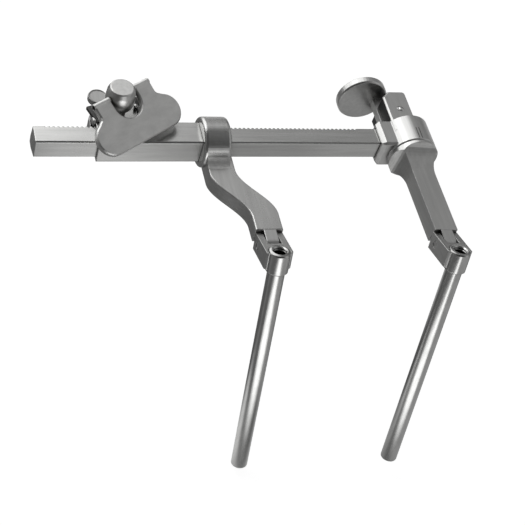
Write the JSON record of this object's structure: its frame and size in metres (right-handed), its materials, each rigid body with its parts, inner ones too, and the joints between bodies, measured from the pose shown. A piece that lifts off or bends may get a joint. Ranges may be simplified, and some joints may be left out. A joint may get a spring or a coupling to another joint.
{
  "type": "bone distractor",
  "caption": "Toothed square bar with a fixed head and a sliding arm moved by a folding wing key; each arm ends in a hinged guide tube for a bone pin.",
  "frame": {"origin": "centre of the rack bar's free end face", "axes": "+X along the bar from its free end to the fixed head, +Y out of the rack's teeth, +Z towards the drive post's head"},
  "size_m": [0.1161, 0.0894, 0.0829],
  "materials": {
    "satin_steel": "satin stainless steel",
    "bright_steel": "polished stainless steel"
  },
  "bodies": {
    "rack_frame": {"rack_bar": "satin_steel", "fixed_head": "satin_steel", "retaining_screw": "bright_steel", "lever_pin": "bright_steel", "lock_spring": "bright_steel"},
    "slider": {"sleeve": "satin_steel", "housing_cover": "satin_steel", "cover_screw_1": "bright_steel", "cover_screw_2": "bright_steel", "pawl_pin": "bright_steel", "moving_arm": "satin_steel", "left_hinge_pin": "bright_steel"},
    "drive": {"pinion": "bright_steel", "drive_post": "bright_steel", "wing_pin": "bright_steel"},
    "wing": {"wing_key": "satin_steel"},
    "pawl_lever": {"pawl": "satin_steel"},
    "lock": {"lock_lever": "satin_steel"},
    "fixed_arm": {"fixed_arm": "satin_steel", "right_hinge_pin": "bright_steel"},
    "left_guide": {"left_block": "satin_steel", "left_guide_tube": "satin_steel"},
    "right_guide": {"right_block": "satin_steel", "right_guide_tube": "satin_steel"}
  },
  "joints": [
    {"name": "slide", "type": "slide", "parent": "rack_frame", "child": "slider", "axis": [1, 0, 0], "range_m": [-0.014, 0.03]},
    {"name": "pinion_turn", "type": "hinge", "parent": "slider", "child": "drive", "pos_m": [0.0229, 0.00508, 0], "axis": [0, 0, 1], "range_deg": [-725, 340]},
    {"name": "wing_fold", "type": "hinge", "parent": "drive", "child": "wing", "pos_m": [0.0229, 0.00508, 0.0127], "axis": [-0.8387, -0.5446, 0], "range_deg": [0, 170]},
    {"name": "pawl_lift", "type": "hinge", "parent": "slider", "child": "pawl_lever", "pos_m": [0.0176, 0.0066, 0], "axis": [0, 0, -1], "range_deg": [0, 6]},
    {"name": "lock_release", "type": "hinge", "parent": "rack_frame", "child": "lock", "pos_m": [0.1072, 0.00865, 0], "axis": [0, 0, 1], "range_deg": [0, 3]},
    {"name": "arm_swivel", "type": "hinge", "parent": "rack_frame", "child": "fixed_arm", "pos_m": [0.1088, 0, 0], "axis": [0, 1, 0], "range_deg": [-25, 4]},
    {"name": "left_tube_tilt", "type": "hinge", "parent": "slider", "child": "left_guide", "pos_m": [0.0594, -0.0341, -0.0031], "axis": [1, 0, 0], "range_deg": [-45, 60]},
    {"name": "right_tube_tilt", "type": "hinge", "parent": "fixed_arm", "child": "right_guide", "pos_m": [0.1088, -0.0378, 0], "axis": [0.9977, 0, -0.068], "range_deg": [-45, 60]}
  ],
  "couplings": [
    {"joint": "pinion_turn", "follows": "slide", "rad_per_m": -416.67}
  ]
}
